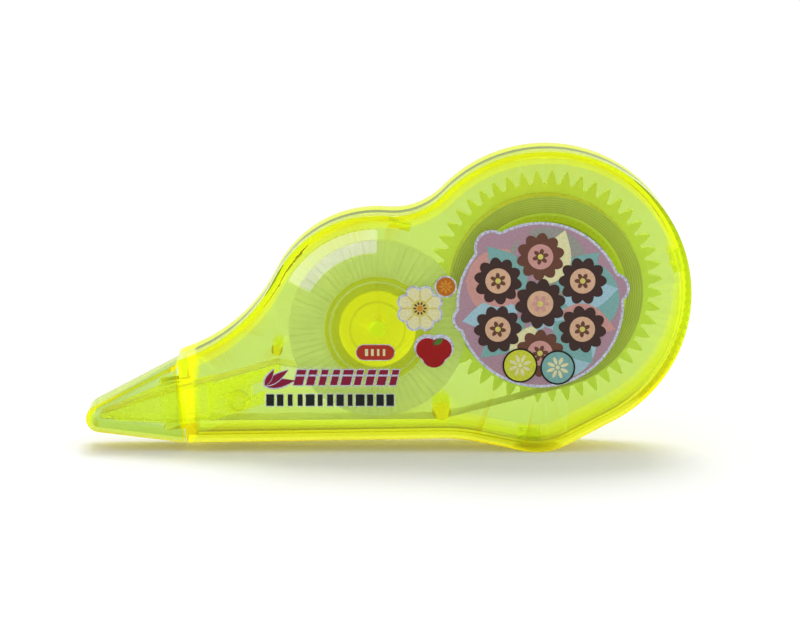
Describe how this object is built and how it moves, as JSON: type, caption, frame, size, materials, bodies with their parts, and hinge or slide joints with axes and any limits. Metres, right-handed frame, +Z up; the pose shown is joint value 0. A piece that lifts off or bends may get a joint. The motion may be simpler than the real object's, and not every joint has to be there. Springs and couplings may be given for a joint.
{
  "type": "correction tape dispenser",
  "caption": "Side-pull correction tape dispenser in see-through neon plastic, with a pull-off nose cap and a geared supply and take-up reel.",
  "frame": {"origin": "middle of the bounding box, on the surface that the dispenser stands on", "axes": "+X from the nose to the supply reel's end, +Y from the front cover to the back cover, +Z up"},
  "size_m": [0.0886, 0.0132, 0.0444],
  "materials": {
    "case_plastic": "see-through neon yellow-green, polished",
    "cap_plastic": "see-through neon yellow-green, polished",
    "head_plastic": "natural, slightly see-through",
    "reel_plastic": "natural, milky",
    "frosted_plastic": "frosted white",
    "clutch_rubber": "soft",
    "correction_tape": "white coating on a thin liner",
    "liner_film": "thin waxed liner",
    "picture_print": "printed film with a silver edge",
    "flower_print": "printed film with a silver edge",
    "fruit_print": "printed film with a silver edge",
    "apple_print": "printed film with a silver edge",
    "pill_print": "printed film with a silver edge",
    "stripe_print": "printed film with a silver edge",
    "bar_print": "printed film with a silver edge"
  },
  "bodies": {
    "case": {"front_case": "case_plastic", "back_case": "case_plastic", "applicator_head": "head_plastic", "tape_run": "correction_tape", "liner_run": "liner_film", "picture_label": "picture_print", "flower_label": "flower_print", "fruit_label": "fruit_print", "apple_label": "apple_print", "pill_label": "pill_print", "stripe_label": "stripe_print", "bar_label": "bar_print"},
    "cap": {"tip_cap": "cap_plastic"},
    "drive_wheel": {"supply_gear": "reel_plastic", "clutch_ring": "clutch_rubber"},
    "supply_reel": {"supply_core": "reel_plastic", "tape_roll": "correction_tape"},
    "take_up_reel": {"take_up_spool": "frosted_plastic", "take_up_pinion": "reel_plastic", "used_liner_roll": "liner_film"}
  },
  "joints": [
    {"name": "cap_pull", "type": "slide", "parent": "case", "child": "cap", "axis": [-0.9935, 0, -0.114], "range_m": [0, 0.02]},
    {"name": "drive_spin", "type": "hinge", "parent": "case", "child": "drive_wheel", "pos_m": [0.0232, 0, 0.0233], "axis": [0, 1, 0], "continuous": true},
    {"name": "take_up_spin", "type": "hinge", "parent": "case", "child": "take_up_reel", "pos_m": [-0.0015, 0, 0.0182], "axis": [0, 1, 0], "continuous": true},
    {"name": "clutch_slip", "type": "hinge", "parent": "drive_wheel", "child": "supply_reel", "pos_m": [0.0232, 0, 0.0233], "axis": [0, 1, 0], "continuous": true}
  ],
  "couplings": [
    {"joint": "take_up_spin", "follows": "drive_spin", "ratio": -1.8462}
  ]
}
